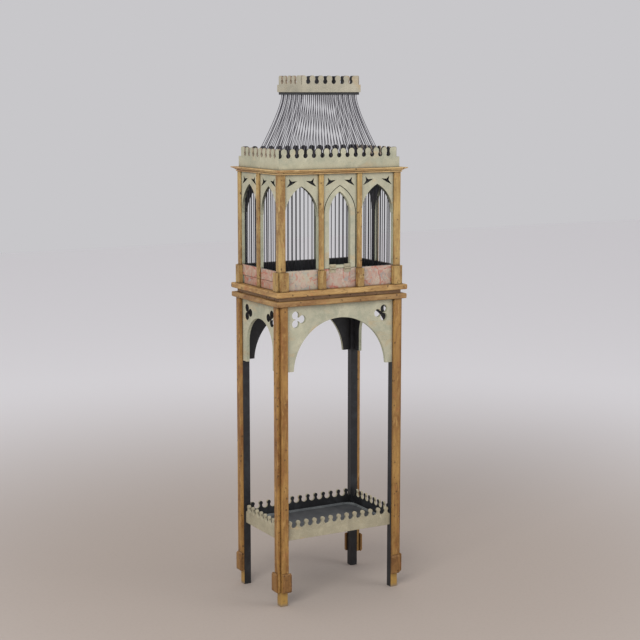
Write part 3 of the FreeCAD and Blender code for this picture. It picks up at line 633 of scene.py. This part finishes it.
for corner in CORNERS:
    dressed("leg_" + corner, [OCHRE_LEG, BLACK], leg_faces, 0.7)
dressed("leg_strips", [OCHRE_STRIP, OCHRE_STRIP], plain, 0.5)
dressed("leg_pads", [OCHRE_PAD, OCHRE_PAD], plain, 0.8)
dressed("stand_top", SLABS["stand"], board_faces, 0.5)
for side in SIDES:
    dressed("apron_" + side, [SAGE, BLACK, SAGE_JAMB, SAGE_EDGE_WEAR_HIGHLIGHT], apron_faces(side), 0.6)
    dressed("shelf_rail_" + side, [SAGE_WARM, BLACK, SAGE_WARM, SAGE_EDGE_WEAR_HIGHLIGHT], panel_faces(side), 0.6)
dressed("shelf_board", [BLACK, BLACK], plain, 0.6)


PAN_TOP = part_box("shelf_pan")[1].z
# the bright rim is partly rubbed metal, partly a painted highlight
PAN_RIM_H = 2 * MM        # faces that reach this near the top are the bright rim


def pan_faces(face, eased, middle):
    high = max(v.co.z for v in face.verts)
    return 1 if high > PAN_TOP - PAN_RIM_H else 0


dressed("shelf_pan", [PAN, PAN_RIM], pan_faces, 0, whole=False)

# --- cage -------------------------------------------------------------------
PANEL_Y = abs(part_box("arches_front")[0].y)      # outer faces of the arched boards
PANEL_X = abs(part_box("arches_left")[0].x)
DAGGER_LOW = 1.1418       # the pierced figures lie above this, the soffits below
MULLION_X = 59 * MM       # the front mullions divide the plinth's marbling here
WELL_W, WELL_D = 147.5 * MM, 87.5 * MM      # just outside the opening through the cornice
GALLERY_T = 6.0 * MM      # thickness of the galleries' boards
GALLERY_EDGE = 0.7 * MM   # just more than their eased edges
PARAPET_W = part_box("parapet_front")[1].x
PARAPET_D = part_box("parapet_back")[1].y
CROWN_W, CROWN_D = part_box("crown_gallery")[1].x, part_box("crown_gallery")[1].y
INNER_X = abs(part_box("arches_left")[1].x)
PANEL_CUTS = [(Vector((0, s * PANEL_Y, 0)), Vector((0, 1, 0))) for s in (-1, 1)]
PANEL_CUTS += [(Vector((s * x, 0, 0)), Vector((1, 0, 0))) for s in (-1, 1) for x in (PANEL_X, INNER_X)]


def post_faces(face, eased, middle):
    """Cage post: ochre outside, sage beside the boards' edges, black inside the cabin."""
    centre = face.calc_center_median()
    nx, ny = face.normal.x * math.copysign(1, middle.x), face.normal.y * math.copysign(1, middle.y)
    if nx < -0.5:
        return 0 if abs(centre.y) > PANEL_Y else 2
    if ny < -0.5:
        if abs(centre.x) > PANEL_X:
            return 0
        return 2 if abs(centre.x) > INNER_X else 1
    return 0


def mullion_faces(face, eased, middle):
    """Mullion: ochre in front of the boards' faces, sage beside their edges, black inside.

    The ones at the back are darker beside the boards.
    """
    wall = side_of(middle)
    out = OUT[wall]
    facing = face.normal.dot(out)
    if facing < -0.3:
        return 1
    plane = PANEL_Y if abs(out.y) > 0 else PANEL_X
    proud = face.calc_center_median().dot(out) > plane
    if wall == "back" and facing < 0.3:
        return 3
    return 0 if proud else 2


for corner in CORNERS:
    dressed("post_" + corner, [OCHRE, BLACK, SAGE_JAMB], post_faces, 0.7, PANEL_CUTS)
dressed("mullions", [OCHRE, BLACK, SAGE_JAMB, JAMB_DARK], mullion_faces, 0.6, PANEL_CUTS)
dressed("corner_blocks", [OCHRE, OCHRE], plain, 0.7)
dressed("mullion_blocks", [OCHRE, OCHRE], plain, 0.7)
dressed("base_board", SLABS["base"], board_faces, 0.5)
dressed("neck_board", NECK, board_faces, 0.5)


def plinth_faces(side):
    def choose(face, eased, middle):
        facing = face.normal.dot(OUT[side])
        if facing < -0.3 or (facing < 0.3 and not eased):
            return 1
        if side in ("front", "back"):
            return 2 if face.calc_center_median().x < -MULLION_X else 0
        return 3
    return choose


BAY_CUTS = [(Vector((x, 0, 0)), Vector((1, 0, 0))) for x in (-MULLION_X, MULLION_X)]
PLINTH_PAINTS = [MARBLE["pink"], BLACK, MARBLE["cream"], MARBLE["salmon"]]
for side in SIDES:
    dressed("plinth_" + side, PLINTH_PAINTS, plinth_faces(side), 0.5,
            BAY_CUTS if side in ("front", "back") else ())
    dressed("arches_" + side, [SAGE, BLACK, SAGE_SOFFIT_SHADED, SAGE_EDGE_WEAR_HIGHLIGHT], arch_faces(side), 0.45)
    dressed("parapet_" + side, [SAGE, BLACK, BLACK_EDGE, SAGE_EDGE_WEAR_HIGHLIGHT, SLOT_BROWN],
            gallery_faces(PARAPET_W, PARAPET_D, side), 0.5)
dressed("crown_gallery", [SAGE_PALE, BLACK, BLACK_EDGE, SAGE_EDGE_WEAR_HIGHLIGHT, SLOT_TAN],
        gallery_faces(CROWN_W, CROWN_D), 0.5)
dressed("crown_board", [BLACK, BLACK_EDGE], plain, 0.5)


def cornice_faces(face, eased, middle):
    centre = face.calc_center_median()
    if abs(centre.x) < WELL_W and abs(centre.y) < WELL_D and abs(face.normal.z) < 0.5:
        return 2
    return board_faces(face, eased, middle)


dressed("cornice", SLABS["cornice"] + [BLACK], cornice_faces, 0.35)

# --- door and drawer --------------------------------------------------------
dressed("door_frame", [SAGE, BLACK, SAGE_JAMB, SAGE_EDGE_WEAR_HIGHLIGHT], panel_faces("front"), 0.45)
for node in ("door_hinge_leaves", "fixed_hinge_leaves"):
    dressed(node, [SAGE_WARM], plain, 0)


LEAF_T = 1.0 * MM
SCREW_SIDES = 12
SCREW_X = (-0.0295, -0.0165, 0.0165, 0.0295)
SCREW_PROFILE = ((1.5, -0.3), (1.5, 0.15), (1.1, 0.45), (0.4, 0.55))      # radius and rise, mm
DOOR_SCREWS_Z = 0.92515
FIXED_SCREWS_Z = 0.91205


def hinge_screws(name, body, centre_z):
    """Low round screw heads, painted over with the leaves."""
    bm = bmesh.new()
    face_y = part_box("door_hinge_leaves")[1].y - LEAF_T
    for x in SCREW_X:
        rings = []
        for radius, rise in SCREW_PROFILE:
            ring = []
            for k in range(SCREW_SIDES):
                a = 2 * math.pi * k / SCREW_SIDES
                across, up = radius * MM * math.cos(a), radius * MM * math.sin(a)
                ring.append(bm.verts.new((x + across, face_y - rise * MM, centre_z + up)))
            rings.append(ring)
        for low, high in zip(rings, rings[1:]):
            for k in range(SCREW_SIDES):
                j = (k + 1) % SCREW_SIDES
                bm.faces.new((low[k], low[j], high[j], high[k])).smooth = True
        bm.faces.new(rings[0])
        bm.faces.new(rings[-1])
    bmesh.ops.recalc_face_normals(bm, faces=bm.faces[:])
    settle(bm, name, body, [SAGE_WARM], (), "painted_hinge")


hinge_screws("door_hinge_screws", "door", DOOR_SCREWS_Z)
hinge_screws("fixed_hinge_screws", "cage", FIXED_SCREWS_Z)
dressed("drawer_front", [MARBLE["red"], BLACK, BLACK_EDGE, MARBLE["red"]], panel_faces("left"), 0.5)
dressed("drawer_block", [OCHRE, OCHRE], plain, 0.5)
dressed("drawer_tray", [BLACK, BLACK_EDGE], plain, 0.4)
dressed("drawer_guides", [BLACK, BLACK_EDGE], plain, 0.4)

# --- wires ------------------------------------------------------------------
WIRE_SIDES = 10
WIRE_STEPS = 8
WIRE_RADIUS = 1.05 * MM
WIRE_SWAY = 0.2 * MM
ROOF_WIRE_STEPS = 18
ROOF_WIRE_RADIUS = 0.9 * MM
ROOF_WIRE_SWAY = 0.5 * MM
KNEE_Z = 1.339            # the roof wires bend upright about here
KNEE_SWAY = 3             # mm
END_LEVEL = 0.02 * MM     # a point this near the lowest or highest level is on a wire's end
WIRE_GAP = 2.5 * MM       # a step wider than this leads to the next wire
WIRE_REACH = 2 * MM       # a point this near a wire's middle belongs to it


def tube(bm, path, across, radius):
    """A closed round wire along a path; across is a direction square to the path."""
    rings = []
    for i, point in enumerate(path):
        ahead = (path[min(i + 1, len(path) - 1)] - path[max(i - 1, 0)]).normalized()
        u = (across - ahead * across.dot(ahead)).normalized()
        v = ahead.cross(u)
        ring = []
        for k in range(WIRE_SIDES):
            a = 2 * math.pi * k / WIRE_SIDES
            ring.append(bm.verts.new(point + (u * math.cos(a) + v * math.sin(a)) * radius))
        rings.append(ring)
    for low, high in zip(rings, rings[1:]):
        for k in range(WIRE_SIDES):
            j = (k + 1) % WIRE_SIDES
            face = bm.faces.new((low[k], low[j], high[j], high[k]))
            face.smooth = True
    bm.faces.new(list(reversed(rings[0])))
    bm.faces.new(rings[-1])


def wire_ends(node):
    """Foot and top of each wire of a node; the wires stand in one row along a wall."""
    mesh = frame["nodes"][node].data
    points = np.empty(len(mesh.vertices) * 3)
    mesh.vertices.foreach_get("co", points)
    points = points.reshape(-1, 3)
    along = 0 if np.ptp(points[:, 0]) > np.ptp(points[:, 1]) else 1

    def centres(level):
        near = points[abs(points[:, 2] - level) < END_LEVEL]
        near = near[np.argsort(near[:, along])]
        gaps = np.where(np.diff(near[:, along]) > WIRE_GAP)[0] + 1
        return [(group.min(axis=0) + group.max(axis=0)) / 2 for group in np.split(near, gaps)]

    feet = centres(points[:, 2].min())
    if node.startswith("roof"):
        return [(Vector(a), Vector(b)) for a, b in zip(feet, centres(points[:, 2].max()))]
    found = []
    for foot in feet:
        wire = points[abs(points[:, along] - foot[along]) < WIRE_REACH]
        found.append((Vector(foot), Vector((foot[0], foot[1], wire[:, 2].max()))))
    return found


def straight_wires(node):
    """Upright wires, each of them a little bent and leaning."""
    bm = bmesh.new()
    for foot, top in wire_ends(node):
        bend = Vector((rng.uniform(-WIRE_SWAY, WIRE_SWAY), rng.uniform(-WIRE_SWAY, WIRE_SWAY) * 0.5, 0))
        lean = Vector((rng.uniform(-WIRE_SWAY, WIRE_SWAY), 0, 0)) * 0.4
        path = []
        for i in range(WIRE_STEPS + 1):
            t = i / WIRE_STEPS
            path.append(foot.lerp(top, t) + bend * math.sin(math.pi * t) + lean * t * (1 - t) * 4)
        tube(bm, path, Vector((1, 0, 0)), WIRE_RADIUS)
    bmesh.ops.recalc_face_normals(bm, faces=bm.faces[:])
    return settle(bm, node + "_piece", body_of_node(node), [WIRE], [node], "dark_wire")


def swept_wires(node):
    """Roof wires: in and up from the cornice, upright under the crown, none of them quite true."""
    bm = bmesh.new()
    for foot, top in wire_ends(node):
        knee = Vector((top.x, top.y, KNEE_Z + rng.uniform(-KNEE_SWAY, KNEE_SWAY) * MM))
        along = Vector((0, 1, 0)) if node.endswith(("left", "right")) else Vector((1, 0, 0))
        bend = along * rng.uniform(-ROOF_WIRE_SWAY, ROOF_WIRE_SWAY)
        path = []
        for i in range(ROOF_WIRE_STEPS + 1):
            t = i / ROOF_WIRE_STEPS
            point = foot * (1 - t) ** 2 + knee * 2 * t * (1 - t) + top * t * t
            path.append(point + bend * math.sin(math.pi * t))
        tube(bm, path, along, ROOF_WIRE_RADIUS)
    bmesh.ops.recalc_face_normals(bm, faces=bm.faces[:])
    return settle(bm, node + "_piece", body_of_node(node), [ROOF_WIRE], [node], "dark_wire")


BAY_WIRES = ("wires_front_left", "wires_front_right", "wires_back", "wires_left", "wires_right")
for node in BAY_WIRES + ("door_wires",):
    straight_wires(node)
for side in SIDES:
    swept_wires("roof_wires_" + side)


# --- floor, backdrop, light, camera -----------------------------------------
def floor_paint():
    """Plain pale floor that grows paler away from the object."""
    net = Net("floor_paint", 0.9)
    grit = net.noise(110, 3, 0.7)
    near = net.layer(rgb(184, 172, 162), net.window(grit, 0.45, 0.75), 0.25, rgb(168, 156, 146))
    distance = net.add("ShaderNodeVectorMath", operation="LENGTH")
    net.link(net.place, distance.inputs[0])
    colour = net.mix(net.window(distance.outputs["Value"], 0.5, 3.4), near, rgb(252, 250, 251))
    return net.finish(colour, None, [(grit, 0.0003)])


FLOOR_HALF = 9


def make_stage():
    """The floor, which isn't part of the object."""
    bm = bmesh.new()
    corners = ((-1, -1), (1, -1), (1, 1), (-1, 1))
    bm.faces.new([bm.verts.new((FLOOR_HALF * x, FLOOR_HALF * y, 0)) for x, y in corners])
    mesh = bpy.data.meshes.new("floor")
    bm.to_mesh(mesh)
    bm.free()
    mesh.materials.append(floor_paint())
    floor = bpy.data.objects.new("floor", mesh)
    bpy.context.scene.collection.objects.link(floor)


def area_light(name, location, target, size, power, colour=(1, 1, 1)):
    light = bpy.data.lights.new(name, "AREA")
    light.shape = "RECTANGLE"
    light.size, light.size_y = size
    light.energy = power
    light.color = colour
    obj = bpy.data.objects.new(name, light)
    obj.location = location
    obj.rotation_mode = "QUATERNION"
    obj.rotation_quaternion = (Vector(target) - Vector(location)).to_track_quat("-Z", "Y")
    bpy.context.scene.collection.objects.link(obj)


def make_light():
    """A soft light from the front left, a weaker one from the front right and a pale sky."""
    area_light("key", (-3.0, -2.7, 3.0), (0, 0, 0.8), (2.4, 2.0), 105, (1.0, 0.985, 0.96))
    area_light("fill", (2.6, -2.8, 2.2), (0, 0, 0.8), (2.0, 2.0), 26, (0.97, 0.98, 1.0))
    world = bpy.data.worlds.new("studio")
    world.use_nodes = True
    background = world.node_tree.nodes["Background"]
    background.inputs["Color"].default_value = rgb(200, 199, 202)
    background.inputs["Strength"].default_value = 1.0
    bpy.context.scene.world = world


def make_camera():
    """The photograph's view, fitted to the object's edges."""
    heading, down = math.radians(29.23), math.radians(8.68)
    level = Vector((math.sin(heading), math.cos(heading), 0))
    forward = level * math.cos(down) - Vector((0, 0, math.sin(down)))
    data = bpy.data.cameras.new("camera")
    data.sensor_width = 36
    data.lens = 84.86
    camera = bpy.data.objects.new("camera", data)
    camera.location = (-2.0190, -3.6152, 1.3936)
    camera.rotation_mode = "QUATERNION"
    camera.rotation_quaternion = forward.to_track_quat("-Z", "Y")
    bpy.context.scene.collection.objects.link(camera)
    bpy.context.scene.camera = camera


make_stage()
make_light()
make_camera()
bpy.context.scene.view_settings.view_transform = "Standard"
